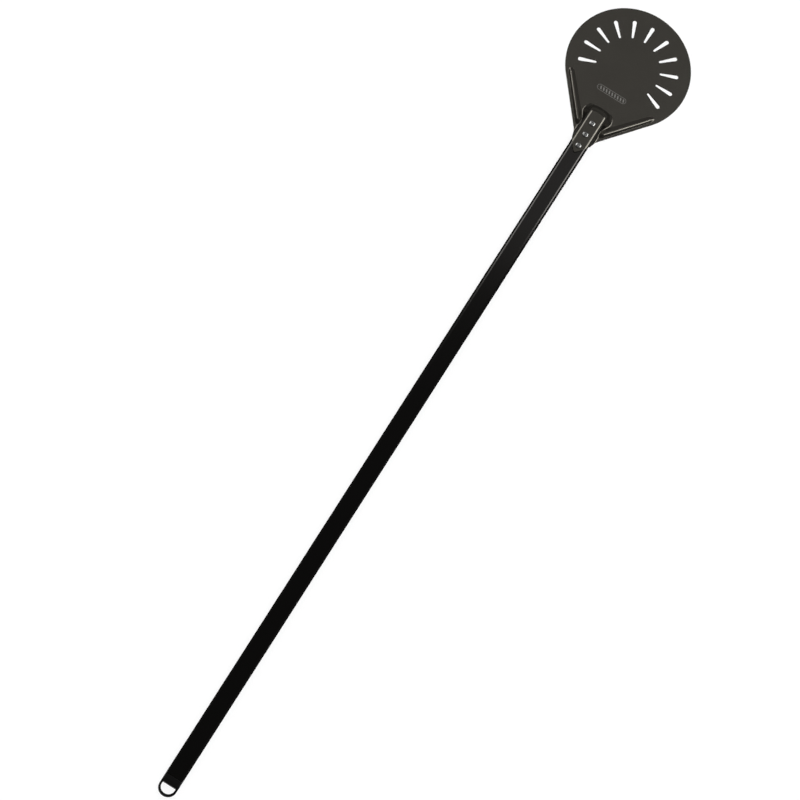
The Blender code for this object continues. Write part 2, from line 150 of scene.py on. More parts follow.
class PEEL_PG_finish(bpy.types.PropertyGroup):
    """Colours and gloss of the finishes."""

    blade: colour("Blade", (0.045, 0.042, 0.036), "Hard-anodised sheet")
    blade_gloss: share("Blade roughness", 0.16, "Roughness of the hard-anodised sheet")
    tube: colour("Tube", (0.024, 0.023, 0.022), "Anodised tube")
    tube_gloss: share("Tube roughness", 0.24, "Roughness of the anodised tube")
    mark: colour("Mark", (0.2, 0.195, 0.185), "Etched oblong on the blade")
    rivet: colour("Rivets", (0.15, 0.15, 0.147), "Bare aluminium of the rivets")
    mandrel: colour("Mandrels", (0.12, 0.12, 0.12), "Steel of the broken mandrels")
    cap: colour("Cap", (0.0018, 0.0017, 0.0017), "Moulded plastic of the end cap")


class PEEL_PG_stage(bpy.types.PropertyGroup):
    """Where the camera stands and how bright the studio is."""

    distance: length("Camera distance", 10.4, "From the aimed point to the camera")
    azimuth: angle("Azimuth", 5.622, "Camera's turn from looking straight along the handle")
    elevation: angle("Elevation", 70.502, "Camera's height over the floor as an angle")
    roll: angle("Roll", 26.677, "Camera's turn about its own line of sight")
    lens: FloatProperty(name="Lens", description="Focal length", default=300.74, subtype="DISTANCE_CAMERA")
    aim_x: FloatProperty(name="Aim X", description="Aimed point across", default=-0.0209, subtype="DISTANCE")
    aim_y: FloatProperty(name="Aim Y", description="Aimed point along", default=-0.01748, subtype="DISTANCE")
    floor: colour("Floor", (0.93, 0.93, 0.93), "Plain pale floor")


# ---- outlines and flat shapes ---------------------------------------------------------------
def arc(centre, radius, start, end, steps):
    """Points along an arc in the plane, both ends included."""
    points = []
    for step in range(steps + 1):
        turn = start + (end - start) * step / steps
        points.append((centre[0] + radius * cos(turn), centre[1] + radius * sin(turn)))
    return points


def even_steps(points, spacing):
    """A closed outline with more points on its straight runs, none further apart than spacing."""
    dense = []
    for here, there in zip(points, points[1:] + points[:1]):
        run = Vector(there) - Vector(here)
        steps = max(1, round(run.length / spacing))
        dense += [tuple(Vector(here) + run * step / steps) for step in range(steps)]
    return dense


def rounded_rectangle(width, height, radius, steps=14):
    """The outline of a rectangle with round corners, about its own centre."""
    reach_x = width / 2 - radius
    reach_y = height / 2 - radius
    corners = ((reach_x, reach_y), (-reach_x, reach_y), (-reach_x, -reach_y), (reach_x, -reach_y))
    points = []
    for quarter, corner in enumerate(corners):
        points += arc(corner, radius, quarter * pi / 2, (quarter + 1) * pi / 2, steps)
    return points


def link(name, data):
    """A mesh, curve, light or camera as a new object in the scene."""
    thing = bpy.data.objects.new(name, data)
    bpy.context.scene.collection.objects.link(thing)
    return thing


def prism(name, outlines, thickness, placement):
    """A flat outline, with holes where there are more outlines, extruded along its own Z."""
    curve = bpy.data.curves.new(name + "_outline", "CURVE")
    curve.dimensions = "2D"
    curve.fill_mode = "BOTH"
    curve.extrude = thickness / 2
    for outline in outlines:
        spline = curve.splines.new("POLY")
        spline.points.add(len(outline) - 1)
        for point, place in zip(spline.points, outline):
            point.co = (place[0], place[1], 0.0, 1.0)
        spline.use_cyclic_u = True
    guide = link(name + "_guide", curve)
    mesh = bpy.data.meshes.new_from_object(guide.evaluated_get(bpy.context.evaluated_depsgraph_get()))
    bpy.data.objects.remove(guide, do_unlink=True)
    bpy.data.curves.remove(curve)
    tidy = bmesh.new()
    tidy.from_mesh(mesh)
    bmesh.ops.remove_doubles(tidy, verts=tidy.verts, dist=0.001 * MM)
    bmesh.ops.recalc_face_normals(tidy, faces=tidy.faces)
    tidy.transform(placement)
    tidy.to_mesh(mesh)
    tidy.free()
    mesh.materials.clear()
    return link(name, mesh)


def across_handle(y, z):
    """Places an outline drawn as width and height so that it is extruded along the handle."""
    return Matrix.Translation((0.0, y, z)) @ Matrix.Rotation(pi / 2, 4, "X")


def apply_modifiers(piece):
    """Gives the piece the mesh that its modifiers make, and removes them."""
    evaluated = piece.evaluated_get(bpy.context.evaluated_depsgraph_get())
    mesh = bpy.data.meshes.new_from_object(evaluated)
    piece.modifiers.clear()
    piece.data = mesh


def join_shapes(piece, other, operation):
    """Cuts or joins the piece with another shape, which is then removed."""
    modifier = piece.modifiers.new(operation, "BOOLEAN")
    modifier.operation = operation
    modifier.solver = "EXACT"
    modifier.object = other
    apply_modifiers(piece)
    bpy.data.objects.remove(other, do_unlink=True)


def dress(piece, material, slot, *nodes):
    """Gives a finished piece its material and the CAD nodes that it stands for, which it hides. The slot
    argument is not used.
    """
    piece.data.materials.clear()
    piece.data.materials.append(material)
    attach(piece, ROOT)
    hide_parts(*nodes)


# ---- the pressed blade ----------------------------------------------------------------------
def smooth(value, low, high):
    """0 below low, 1 above high, and an even S between."""
    part = min(max((value - low) / (high - low), 0.0), 1.0)
    return part * part * (3 - 2 * part)


class PressedShape:
    """The form that the press gives the flat blank, station by station along the handle."""

    HOOD_TOP_BEND = 16 * MM
    HOOD_FOOT_BEND = 4 * MM
    FOOT_BEND = 5.5 * MM
    RIB_TOP_BEND = 3 * MM
    RIB_OUTER_BEND = 2 * MM
    RIB_INNER_BEND = 4 * MM

    def __init__(self, blade, handle):
        self.blade = blade
        self.rise = handle.height + handle.gap
        self.top_bend = handle.corner + handle.gap
        self.plateau = handle.width / 2 - handle.corner
        self.sections = {}

    @staticmethod
    def slope(inward, rise, lean, top_bend, foot_bend):
        """(height, whole run) of a bent slope, `inward` from its foot."""
        straight = (rise - (top_bend + foot_bend) * (1 - cos(lean))) / tan(lean)
        run = (top_bend + foot_bend) * sin(lean) + straight
        inward = min(max(inward, 0.0), run)
        if inward < foot_bend * sin(lean):
            return foot_bend - sqrt(foot_bend ** 2 - inward ** 2), run
        if inward > run - top_bend * sin(lean):
            return rise - top_bend + sqrt(top_bend ** 2 - (run - inward) ** 2), run
        return foot_bend * (1 - cos(lean)) + (inward - foot_bend * sin(lean)) * tan(lean), run

    def wall_lean(self, back):
        """How steep the channel's walls are."""
        blade = self.blade
        upright = smooth(back, blade.flare_start, blade.flare_end)
        return blade.hood_lean + (pi / 2 - blade.hood_lean) * upright

    def section(self, back, steps=12):
        """(distance along the sheet, x, z) from the middle line out to the foot of the wall."""
        key = round(max(back, self.blade.flare_start), 6)
        if key in self.sections:
            return self.sections[key]
        lean = self.wall_lean(back)
        run = self.slope(0.0, self.rise, lean, self.top_bend, self.FOOT_BEND)[1]
        foot = self.plateau + run
        points = [(0.0, self.rise)]
        for step in range(steps + 1):
            turn = lean * step / steps
            points.append((self.plateau + self.top_bend * sin(turn),
                           self.rise - self.top_bend * (1 - cos(turn))))
        for step in range(steps + 1):
            turn = lean * (1 - step / steps)
            points.append((foot - self.FOOT_BEND * sin(turn), self.FOOT_BEND * (1 - cos(turn))))
        section = []
        travelled = 0.0
        before = Vector(points[0])
        for point in points:
            travelled += (Vector(point) - before).length
            before = Vector(point)
            section.append((travelled, *point))
        self.sections[key] = section
        return section

    def front(self, x, foot, back):
        """How much of the channel's height is reached behind the hood's rounded front."""
        blade = self.blade
        aside = min(max(abs(x) - (foot - blade.hood_corner), 0.0), blade.hood_corner)
        starts = blade.hood_front + blade.hood_corner - sqrt(blade.hood_corner ** 2 - aside ** 2)
        starts += blade.hood_bow * min(abs(x) / (foot - blade.hood_corner), 1.0) ** 2
        height = self.slope(back - starts, self.rise, blade.hood_angle, self.HOOD_TOP_BEND,
                            self.HOOD_FOOT_BEND)[0]
        return height / self.rise

    def blank_place(self, x, back):
        """Distance along the sheet, from the middle line, of a point seen from above at x."""
        section = self.section(back)
        reach, foot, _ = section[-1]
        if abs(x) >= foot:
            along = reach + abs(x) - foot
        else:
            along = 0.0
            for before, after in zip(section, section[1:]):
                if before[1] <= abs(x) <= after[1] and after[1] > before[1]:
                    part = (abs(x) - before[1]) / (after[1] - before[1])
                    along = before[0] + part * (after[0] - before[0])
                    break
        return along if x >= 0 else -along

    def press(self, along, back):
        """Where a point of the flat blank ends up, as x and the underside's z."""
        section = self.section(back)
        reach, foot, _ = section[-1]
        distance = abs(along)
        x = foot + distance - reach
        z = 0.0
        if distance < reach:
            for before, after in zip(section, section[1:]):
                if distance <= after[0] and after[0] > before[0]:
                    part = (distance - before[0]) / (after[0] - before[0])
                    x = before[1] + part * (after[1] - before[1])
                    z = before[2] + part * (after[2] - before[2])
                    break
        z = z * self.front(x, foot, back)
        z += self.rib(x, back) * (1 - z / self.rise) ** 2
        return (x if along >= 0 else -x), z

    def pressed(self, along, back, head_y):
        """The underside's point and its upward normal where a point of the blank ends up."""
        step = 0.05 * MM
        x, z = self.press(along, back)
        right = self.press(along + step, back)
        left = self.press(along - step, back)
        far = self.press(along, back - step)
        near = self.press(along, back + step)
        across = Vector((right[0] - left[0], 0.0, right[1] - left[1]))
        onwards = Vector((far[0] - near[0], 2 * step, far[1] - near[1]))
        return Vector((x, head_y - back, z)), across.cross(onwards).normalized()

    def wing_edge(self, back):
        """Half the width of the blade along its straight wing edge."""
        lean = self.blade.wing_angle
        return self.blade.head_radius / cos(lean) - back * tan(lean)

    def flank(self, reached, lean, foot_bend):
        """(whole run, height) of a rib's flank; `reached` goes from 0 at its foot to 1 at its crest."""
        rise = self.blade.rib_rise
        run = self.slope(0.0, rise, lean, self.RIB_TOP_BEND, foot_bend)[1]
        return run, self.slope(run * reached, rise, lean, self.RIB_TOP_BEND, foot_bend)[0]

    def rib(self, x, back):
        """Height that a wing's rib adds: a tapered bead with round ends beside the wing's edge."""
        blade = self.blade
        lean = blade.wing_angle
        from_crest = blade.head_radius - abs(x) * cos(lean) - back * sin(lean) - blade.rib_crest
        along = back * cos(lean) - abs(x) * sin(lean)
        part = min(max((along - blade.rib_start) / (blade.rib_finish - blade.rib_start), 0.0), 1.0)
        size = blade.rib_taper + (1 - blade.rib_taper) * part
        beyond = max(blade.rib_start + blade.rib_point - along,
                     along - blade.rib_finish + blade.rib_point, 0.0)
        leans = ((blade.rib_outer_lean, self.RIB_OUTER_BEND),
                 (blade.rib_inner_lean, self.RIB_INNER_BEND))
        run = self.flank(0.0, *leans[from_crest > 0])[0] * size
        outwards = sqrt((from_crest / run) ** 2 + (beyond / blade.rib_point) ** 2)
        if outwards >= 1:
            return 0.0
        inner_share = 0.5 + 0.5 * (from_crest / run) / max(outwards, 1e-9)
        outer, inner = (self.flank(1 - outwards, *lean)[1] for lean in leans)
        return size * (outer + (inner - outer) * inner_share)


def blade_outline(blade, handle):
    """(x, back) around the blade seen from above: head, wings, neck and pointed tongue."""
    lean = blade.wing_angle
    rim = [(x, -y) for x, y in arc((0.0, 0.0), blade.head_radius, -lean, pi + lean, 240)]
    turn_in = blade.wing_fillet * (cos(blade.wing_end) - cos(lean))
    fillet_start = (blade.head_radius / cos(lean) - blade.neck_half - turn_in) / tan(lean)
    wings_end = fillet_start + blade.wing_fillet * (sin(lean) - sin(blade.wing_end))
    centre = (-blade.neck_half - blade.wing_fillet * cos(blade.wing_end),
              -wings_end - blade.wing_fillet * sin(blade.wing_end))
    left = [(x, -y) for x, y in arc(centre, blade.wing_fillet, lean, blade.wing_end, 16)]
    steps = 16
    narrowing, roundness = 1.4, 0.8
    for step in range(steps + 1):
        reached = sin(pi / 2 * step / steps)
        half = handle.width / 2 * (1 - reached ** narrowing) ** roundness
        left.append((-half, blade.shoulder + (blade.tongue_tip - blade.shoulder) * reached))
    right = [(-x, back) for x, back in reversed(left[:-1])]
    return rim + left + right


def slot_outline(blade, turn):
    """(x, back) around one tapered slot with round ends, `turn` round from the far side."""
    inner_end = blade.slot_inner_width / 2
    outer_end = blade.slot_outer_width / 2
    inner = blade.slot_inner + inner_end
    outer = blade.slot_outer - outer_end
    flare = asin((outer_end - inner_end) / (outer - inner))
    points = arc((outer, 0.0), outer_end, -pi / 2 - flare, pi / 2 + flare, 14)
    points += arc((inner, 0.0), inner_end, pi / 2 + flare, 3 * pi / 2 - flare, 10)
    rotate = Matrix.Rotation(pi / 2 - turn, 2)
    placed = [rotate @ Vector(point) for point in points]
    return [(point.x, -point.y) for point in placed]


def blank_loops(blade, handle, rivet, head_y):
    """Every cut in the blank, in (x, back), with the metal always on the left of its direction."""
    loops = [even_steps(blade_outline(blade, handle), 1.4 * MM)]
    for index in range(blade.slot_count):
        turn = (index - (blade.slot_count - 1) / 2) * blade.slot_pitch
        loops.append(even_steps(slot_outline(blade, turn), 1.0 * MM))
    hole = rivet.shank_radius + handle.gap
    for place in rivet_places():
        loops.append(arc((0.0, head_y - place), hole, 0.0, 2 * pi, 28)[:-1])
    for number, loop in enumerate(loops):
        doubled_area = sum(here[0] * there[1] - there[0] * here[1]
                           for here, there in zip(loop, loop[1:] + loop[:1]))
        if (doubled_area > 0) != (number == 0):
            loop.reverse()
    return loops


def inset(loop, distance):
    """The closed loop moved to its left, towards the metal."""
    moved = []
    for before, here, after in zip(loop[-1:] + loop[:-1], loop, loop[1:] + loop[:1]):
        arrives = (Vector(here) - Vector(before)).normalized()
        leaves = (Vector(after) - Vector(here)).normalized()
        left = Vector((-arrives.y - leaves.y, arrives.x + leaves.x)).normalized()
        mitre = distance / max(left.dot(Vector((-leaves.y, leaves.x))), 0.5)
        moved.append(tuple(Vector(here) + left * mitre))
    return moved


def on_metal(points, loops):
    """For each point, whether it lies on the metal between the outline and the cuts."""
    places = numpy.array(points)
    crossings = numpy.zeros(len(places), dtype=int)
    for loop in loops:
        for here, there in zip(loop, loop[1:] + loop[:1]):
            if here[1] == there[1]:
                continue
            straddles = (here[1] > places[:, 1]) != (there[1] > places[:, 1])
            slope = (there[0] - here[0]) / (there[1] - here[1])
            crossings += straddles & (places[:, 0] < here[0] + (places[:, 1] - here[1]) * slope)
    return crossings % 2 == 1


def steps_between(start, end, spacing):
    """Even places from start to end, no further apart than spacing."""
    count = max(1, ceil((end - start) / spacing))
    return [start + (end - start) * step / count for step in range(count + 1)]


def blank_points(blade, shape):
    """Points over the blank, close together where the press bends the sheet."""
    flat, bent, walled, ribbed = 5 * MM, 1.2 * MM, 0.8 * MM, 0.6 * MM
    ribs_begin = 46 * MM
    ribs_end = 132 * MM
    ribs_reach = 26 * MM
    hood_begins = blade.hood_front - 2 * MM
    rows = steps_between(-blade.head_radius, ribs_begin, flat)
    rows += steps_between(ribs_begin, hood_begins, walled)[1:]
    rows += steps_between(hood_begins, ribs_end, walled)[1:]
    rows += steps_between(ribs_end, blade.tongue_tip, bent)[1:]
    points = []
    for back in rows:
        reach, foot, _ = shape.section(back)[-1]
        edge = reach + max(shape.wing_edge(back) - foot, 0.0)
        flank = max(edge - ribs_reach, reach) if ribs_begin <= back <= ribs_end else edge
        places = [entry[0] for entry in shape.section(back)] if back > blade.hood_front else [0.0]
        places += steps_between(0.0, places[-1] if len(places) == 1 else places[1], walled * 2)[1:]
        places += steps_between(places[-1] if len(places) == 1 else reach, flank, flat)[1:]
        places += steps_between(flank, edge, ribbed)[1:]
        for along in places:
            points.append((along, back))
            if along > 0:
                points.append((-along, back))
    return points


def build_blade(blade, handle, rivet, material):
    """The blade: a flat blank with its cuts, pressed to shape, with softly rounded cut edges."""
    head_y = BLADE_BOX[1].y - blade.head_radius
    shape = PressedShape(blade, handle)
    loops = [[(shape.blank_place(x, back), back) for x, back in loop]
             for loop in blank_loops(blade, handle, rivet, head_y)]
    rounding = blade.edge_round
    borders = [inset(loop, rounding) for loop in loops]
    verts = []
    edges = []
    for border in borders:
        first = len(verts)
        verts += border
        edges += [(first + step, first + (step + 1) % len(border)) for step in range(len(border))]
    near = kdtree.KDTree(len(verts))
    for index, (along, back) in enumerate(verts):
        near.insert((along, back, 0.0), index)
    near.balance()
    clear_of_borders = 0.6 * MM
    candidates = blank_points(blade, shape)
    for point, kept in zip(candidates, on_metal(candidates, borders)):
        if kept and near.find((*point, 0.0))[2] > clear_of_borders:
            verts.append(point)
    coincident = 1e-7
    flat_verts, _, faces, origins, _, _ = geometry.delaunay_2d_cdt(
        [Vector(vert) for vert in verts], edges, [], 1, coincident)
    middles = [sum((flat_verts[corner] for corner in face), Vector((0.0, 0.0))) / 3
               for face in faces]

    sheet = bmesh.new()
    top = []
    under = []
    normals = []
    for along, back in verts:
        foot, normal = shape.pressed(along, back, head_y)
        top.append(sheet.verts.new(foot + normal * blade.sheet))
        under.append(sheet.verts.new(foot))
        normals += [normal, -normal]
    for face, kept in zip(faces, on_metal(middles, borders)):
        if kept:
            corners = [origins[corner][0] for corner in face]
            sheet.faces.new([top[corner] for corner in reversed(corners)])
            sheet.faces.new([under[corner] for corner in corners])
    first = 0
    for loop in loops:
        count = len(loop)
        rings = [top[first:first + count]]
        for depth, height in rim_profile(rounding, blade.sheet):
            ring = []
            for along, back in inset(loop, depth):
                foot, normal = shape.pressed(along, back, head_y)
                ring.append(sheet.verts.new(foot + normal * height))
            rings.append(ring)
        rings.append(under[first:first + count])
        for upper, lower in zip(rings, rings[1:]):
            for step in range(count):
                after = (step + 1) % count
                sheet.faces.new((upper[step], upper[after], lower[after], lower[step]))
        first += count
    bmesh.ops.recalc_face_normals(sheet, faces=sheet.faces)
    mesh = bpy.data.meshes.new("pressed_blade")
    sheet.to_mesh(mesh)
    normals += [Vector((0.0, 0.0, 0.0))] * (len(sheet.verts) - len(normals))
    sheet.free()
    mesh.shade_smooth()
    mesh.normals_split_custom_set_from_vertices(normals)
    piece = link("pressed_blade", mesh)
    dress(piece, material, "anodised_blade", "blade")


def rim_profile(rounding, sheet, steps=3):
    """(depth into the metal, height) down a cut edge between its two rounded corners."""
    turns = [pi / 2 * step / steps for step in range(1, steps + 1)]
    upper = [(rounding * (1 - sin(turn)), sheet - rounding * (1 - cos(turn))) for turn in turns]
    lower = [(depth, sheet - height) for depth, height in reversed(upper)]
    return upper + lower


# ---- the handle -----------------------------------------------------------------------------
def build_tube(handle, material):
    """The flat-oval tube, open at both ends, with its cut ends deburred."""
    outer = rounded_rectangle(handle.width, handle.height, handle.corner)
    inner = rounded_rectangle(
        handle.width - 2 * handle.wall, handle.height - 2 * handle.wall, handle.corner - handle.wall)
    low, high = TUBE_BOX
    middle = across_handle((low.y + high.y) / 2, handle.height / 2)
    piece = prism("handle", [outer, inner], high.y - low.y, middle)
    drill_radius = 2.7 * MM
    drill_length = 8 * MM
    for place in rivet_places():
        circle = arc((0.0, place), drill_radius, 0.0, 2 * pi, 24)[:-1]
        drill = prism("drill", [circle], drill_length,
                      Matrix.Translation((0.0, 0.0, handle.height)))
        join_shapes(piece, drill, "DIFFERENCE")
    soften = piece.modifiers.new("deburred_ends", "BEVEL")
    soften.width = handle.deburr
    soften.segments = 2
    soften.limit_method = "ANGLE"
    soften.angle_limit = radians(60)
    apply_modifiers(piece)
    piece.data.shade_smooth()
    even = piece.modifiers.new("even_shading", "WEIGHTED_NORMAL")
    even.keep_sharp = False
    dress(piece, material, "anodised_tube", "handle_tube")


# ---- the rivets -----------------------------------------------------------------------------
def rivet_places():
    """Where the rivets stand along the handle, from the CAD's own rivets."""
    places = []
    for number in (1, 2, 3):
        low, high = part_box(f"rivet_body_{number}")
        places.append((low.y + high.y) / 2)
    return places


def turned(name, profile, centre, closed, segments=64):
    """A profile of (radius, height) points turned about a vertical axis."""
    mesh = bpy.data.meshes.new(name)
    edges = [(index, index + 1) for index in range(len(profile) - 1)]
    if closed:
        edges.append((len(profile) - 1, 0))
    mesh.from_pydata([(radius, 0.0, height) for radius, height in profile], edges, [])
    piece = link(name, mesh)
    piece.location = centre
    screw = piece.modifiers.new("turn", "SCREW")
    screw.steps = segments
    screw.render_steps = segments
    screw.use_merge_vertices = True
    screw.merge_threshold = 0.001 * MM
    screw.use_smooth_shade = True
    apply_modifiers(piece)
    return piece


def build_rivet(number, place, rivet, handle, body_material, mandrel_material):
    """One set blind rivet: domed flange, shank, upset bulb, and the broken mandrel in its bore."""
    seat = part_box(f"rivet_body_{number}")[1].z - rivet.flange_height
    inside = handle.height - handle.wall - handle.gap
    crown = rivet.flange_radius - rivet.bore_radius
    lip = 0.4 * MM
    roll = 0.25 * MM
    profile = [(rivet.bore_radius, seat + rivet.flange_height - 3 * roll)]
    for step in range(5):
        turn = pi * (1 - step / 8)
        profile.append((rivet.bore_radius + roll + roll * cos(turn),
                        seat + rivet.flange_height - roll + roll * sin(turn)))
    for step in range(1, 17):
        turn = pi / 2 * step / 16
        profile.append((rivet.bore_radius + roll + (crown - roll) * sin(turn),
                        seat + lip + (rivet.flange_height - lip) * cos(turn)))
    profile += [(rivet.flange_radius, seat + lip / 3), (rivet.flange_radius - lip / 3, seat)]
    profile += [(rivet.shank_radius, seat), (rivet.shank_radius, inside)]
    for step in range(1, 13):
        turn = pi * step / 12
        swell = (rivet.bulb_radius - rivet.shank_radius) * sin(turn)
        profile.append((rivet.shank_radius + swell, inside - rivet.bulb_length * step / 12))
    bulb_end = inside - rivet.bulb_length
    profile.append((rivet.bore_radius, bulb_end))
    body = turned(f"rivet_{number}", profile, (0.0, place, 0.0), True)
    body.data.set_sharp_from_angle(angle=radians(50))
    dress(body, body_material, "bare_aluminium", f"rivet_body_{number}")

    low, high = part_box(f"rivet_mandrel_{number}")
    stem = 1.1 * MM
    head = (high.x - low.x) / 2
    head_top = bulb_end - handle.gap
    profile = [(0.0, high.z - 0.25 * MM), (0.45 * stem, high.z - 0.1 * MM), (0.8 * stem, high.z)]
    profile += [(stem, high.z - 0.15 * MM), (stem, head_top), (head, head_top)]
    for step in range(1, 11):
        turn = pi / 2 * step / 10
        shoulder = head_top - 0.6 * MM
        profile.append((head * cos(turn) if step < 10 else 0.0,
                        shoulder - (shoulder - low.z) * sin(turn)))
    mandrel = turned(f"mandrel_{number}", profile, (0.0, place, 0.0), False)
    mandrel.data.set_sharp_from_angle(angle=radians(50))
    dress(mandrel, mandrel_material, "mandrel_steel", f"rivet_mandrel_{number}")


# ---- the end cap ----------------------------------------------------------------------------
def loop_outline(handle, radius, flat_y, steps, widening=0.0):
    """A half round end about the loop's centre, closed by a straight side at flat_y."""
    centre = (0.0, CAP_BOX[0].y + handle.width / 2)
    points = arc(centre, radius, -pi, 0.0, steps)
    return points + [(radius + widening, flat_y), (-radius - widening, flat_y)]


def cap_side_profile(handle, hole_flat):
    """(y, z) around the cap seen from the side: full height at the tube, thin at the loop."""
    spare = 4 * MM
    shoulder = hole_flat + 8 * MM
    thin = hole_flat - 1 * MM
    full = handle.height + spare
    steps = 20
    upper = [(CAP_BOX[1].y + spare, full / 2)]
    for step in range(steps + 1):
        eased = smooth(step / steps, 0.0, 1.0)
        half = (full + (handle.loop_thickness - full) * eased) / 2
        upper.append((shoulder + (thin - shoulder) * step / steps, half))
    upper.append((CAP_BOX[0].y - spare, handle.loop_thickness / 2))
    lower = [(y, -z) for y, z in reversed(upper)]
    return [(y, z + handle.height / 2) for y, z in upper + lower]


def build_cap(handle, material):
    """The moulded cap: plug, collar that carries on the tube's outline, and D-shaped loop."""
    middle = handle.height / 2
    loop_radius = handle.width / 2
    hole_radius = loop_radius - handle.loop_bar
    loop_centre = CAP_BOX[0].y + loop_radius
    hole_flat = loop_centre - hole_radius + handle.hole_depth
    collar_y = hole_flat + handle.collar
    spare = 4 * MM
    cutter_depth = 60 * MM
    reach = collar_y - CAP_BOX[0].y + spare
    section = rounded_rectangle(handle.width, handle.height, handle.corner)
    piece = prism("loop_cap", [section], reach, across_handle(collar_y - reach / 2, middle))
    level = Matrix.Translation((0.0, 0.0, middle))
    plan = loop_outline(handle, loop_radius, collar_y + spare, 48, spare)
    join_shapes(piece, prism("plan", [plan], cutter_depth, level), "INTERSECT")
    sideways = Matrix.Rotation(pi / 2, 4, "Y") @ Matrix.Rotation(pi / 2, 4, "Z")
    side = prism("side", [cap_side_profile(handle, hole_flat)], cutter_depth, sideways)
    join_shapes(piece, side, "INTERSECT")
    hole = prism("hole", [loop_outline(handle, hole_radius, hole_flat, 40)], cutter_depth, level)
    join_shapes(piece, hole, "DIFFERENCE")
    shrink = 2 * (handle.wall + handle.gap)
    plug_section = rounded_rectangle(
        handle.width - shrink, handle.height - shrink, handle.corner - shrink / 2)
    overlap = 2 * MM
    plug = prism("plug", [plug_section], handle.plug + overlap,
                 across_handle(collar_y + (handle.plug - overlap) / 2, middle))
    join_shapes(piece, plug, "UNION")
    melt = piece.modifiers.new("moulded", "REMESH")
    melt.mode = "VOXEL"
    melt.voxel_size = 0.35 * MM
    melt.use_smooth_shade = True
    relax = piece.modifiers.new("rounded", "SMOOTH")
    relax.factor = 0.5
    relax.iterations = 6
    apply_modifiers(piece)
    piece.data.shade_smooth()
    dress(piece, material, "black_plastic", "end_cap")


# ---- finishes -------------------------------------------------------------------------------
def add_node(tree, kind, **settings):
    """A shader node with its settings and the defaults of its named inputs."""
    node = tree.nodes.new(kind)
    for name, value in settings.items():
        if hasattr(node, name):
            setattr(node, name, value)
        else:
            node.inputs[name].default_value = value
    return node


def feed(tree, socket, value):
    """Links an output into a socket, or sets the socket to a plain value."""
    if isinstance(value, bpy.types.NodeSocket):
        tree.links.new(value, socket)
    else:
        socket.default_value = value


def calculate(tree, operation, first, second=0.0):
    """The output of a Math node whose inputs are numbers or other outputs."""
    node = add_node(tree, "ShaderNodeMath", operation=operation)
    feed(tree, node.inputs[0], first)
    feed(tree, node.inputs[1], second)
    return node.outputs[0]


def between(tree, factor, first, second):
    """The colour that lies between two colours, or outputs, by the factor's output."""
    mix = add_node(tree, "ShaderNodeMix", data_type="RGBA")
    feed(tree, mix.inputs["Factor"], factor)
    feed(tree, mix.inputs["A"], first)
    feed(tree, mix.inputs["B"], second)
    return mix.outputs["Result"]


def grain_group():
    """Surface of an anodised or moulded skin: broad clouding, fine grain and its height."""
    tree = bpy.data.node_groups.new("skin_grain", "ShaderNodeTree")
    ways = {"Clouding": "INPUT", "Grain Scale": "INPUT", "Tone": "OUTPUT", "Height": "OUTPUT"}
    for name, way in ways.items():
        tree.interface.new_socket(name, in_out=way, socket_type="NodeSocketFloat")
    enter = add_node(tree, "NodeGroupInput")
    leave = add_node(tree, "NodeGroupOutput")
    place = add_node(tree, "ShaderNodeTexCoord")
    cloud = add_node(tree, "ShaderNodeTexNoise", Detail=3.0, Roughness=0.55)
    fine = add_node(tree, "ShaderNodeTexNoise", Detail=4.0, Roughness=0.6)
    tree.links.new(place.outputs["Object"], cloud.inputs["Vector"])
    tree.links.new(place.outputs["Object"], fine.inputs["Vector"])
    tree.links.new(enter.outputs["Clouding"], cloud.inputs["Scale"])
    tree.links.new(enter.outputs["Grain Scale"], fine.inputs["Scale"])
    fine_share = 0.35
    blend = add_node(tree, "ShaderNodeMath", operation="MULTIPLY_ADD")
    feed(tree, blend.inputs[0], fine.outputs["Fac"])
    feed(tree, blend.inputs[1], fine_share)
    feed(tree, blend.inputs[2], calculate(tree, "MULTIPLY", cloud.outputs["Fac"], 1 - fine_share))
    tree.links.new(blend.outputs[0], leave.inputs["Tone"])
    tree.links.new(fine.outputs["Fac"], leave.inputs["Height"])
    return tree


def skin_material(name, grain, base, metallic, roughness, variation, clouding, grain_scale, bump,
                  edge_tint=1.0):
    """A skin whose colour and gloss vary a little over its surface, with a fine raised grain."""
    material = bpy.data.materials.new(name)
    material.use_nodes = True
    tree = material.node_tree
    shader = tree.nodes["Principled BSDF"]
    shader.inputs["Metallic"].default_value = metallic
    shader.inputs["Specular Tint"].default_value = (edge_tint, edge_tint, edge_tint, 1.0)
    skin = add_node(tree, "ShaderNodeGroup", node_tree=grain)
    skin.inputs["Clouding"].default_value = clouding
    skin.inputs["Grain Scale"].default_value = grain_scale
    darker = (*[part * (1 - variation) for part in base], 1.0)
    lighter = (*[part * (1 + variation) for part in base], 1.0)
    tree.links.new(between(tree, skin.outputs["Tone"], darker, lighter), shader.inputs["Base Color"])
    gloss = add_node(tree, "ShaderNodeMapRange")
    gloss.inputs["To Min"].default_value = roughness * (1 - variation / 2)
    gloss.inputs["To Max"].default_value = roughness * (1 + variation / 2)
    tree.links.new(skin.outputs["Tone"], gloss.inputs["Value"])
    tree.links.new(gloss.outputs["Result"], shader.inputs["Roughness"])
    raised = add_node(tree, "ShaderNodeBump", Strength=0.25, Distance=bump)
    tree.links.new(skin.outputs["Height"], raised.inputs["Height"])
    tree.links.new(raised.outputs["Normal"], shader.inputs["Normal"])
    return material


